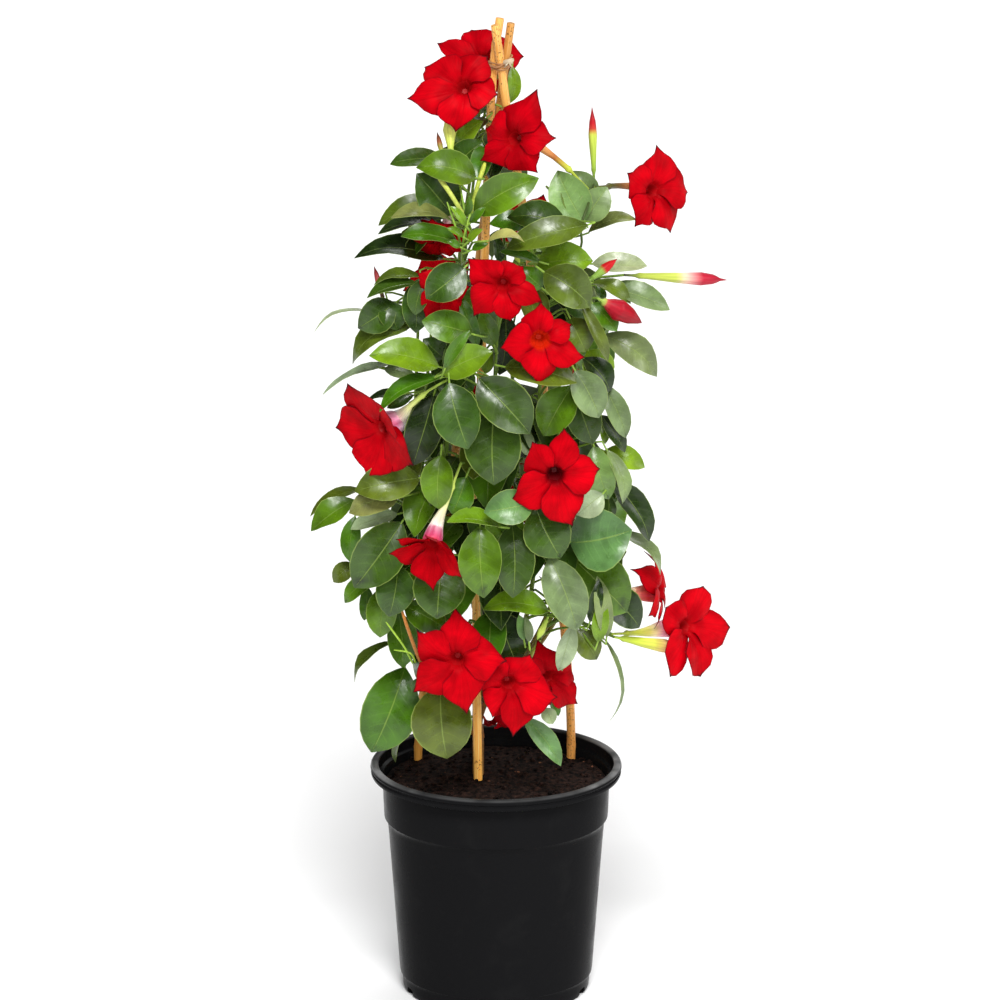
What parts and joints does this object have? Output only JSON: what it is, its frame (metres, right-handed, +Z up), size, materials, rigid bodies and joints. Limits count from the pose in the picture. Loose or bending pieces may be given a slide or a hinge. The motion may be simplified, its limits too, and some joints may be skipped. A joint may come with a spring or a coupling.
{
  "type": "potted mandevilla",
  "caption": "Climbing plant with glossy green leaves and red trumpet flowers, trained up tied bamboo canes in a round black nursery pot.",
  "frame": {"origin": "middle of the pot's underside, on the surface that the pot stands on", "axes": "+Z up, the front of the plant faces -Y, +X to the right of the front"},
  "size_m": [0.3677, 0.3573, 0.8835],
  "materials": {
    "pot": "satin",
    "soil": "matte",
    "bamboo": "satin",
    "raffia": "matte",
    "foliage": "satin",
    "petal": "satin"
  },
  "bodies": {
    "root": {"bud_01": "petal", "bud_02": "petal", "bud_03": "petal", "bud_04": "petal", "bud_05": "petal", "bud_06": "petal", "bud_07": "petal", "bud_08": "petal", "cane_front": "bamboo", "cane_left": "bamboo", "cane_right": "bamboo", "cane_tie": "raffia", "flower_01": "petal", "flower_02": "petal", "flower_03": "petal", "flower_04": "petal", "flower_05": "petal", "flower_06": "petal", "flower_07": "petal", "flower_08": "petal", "flower_09": "petal", "flower_10": "petal", "flower_11": "petal", "flower_12": "petal", "flower_13": "petal", "flower_14": "petal", "flower_15": "petal", "flower_16": "petal", "flower_17": "petal", "flower_18": "petal", "flower_19": "petal", "flower_20": "petal", "flower_21": "petal", "flower_22": "petal", "pot": "pot", "potting_soil": "soil", "vine_01": "foliage", "vine_02": "foliage", "vine_03": "foliage", "vine_04": "foliage", "vine_05": "foliage", "vine_06": "foliage", "vine_07": "foliage", "vine_08": "foliage", "vine_09": "foliage", "vine_10": "foliage"}
  },
  "joints": []
}
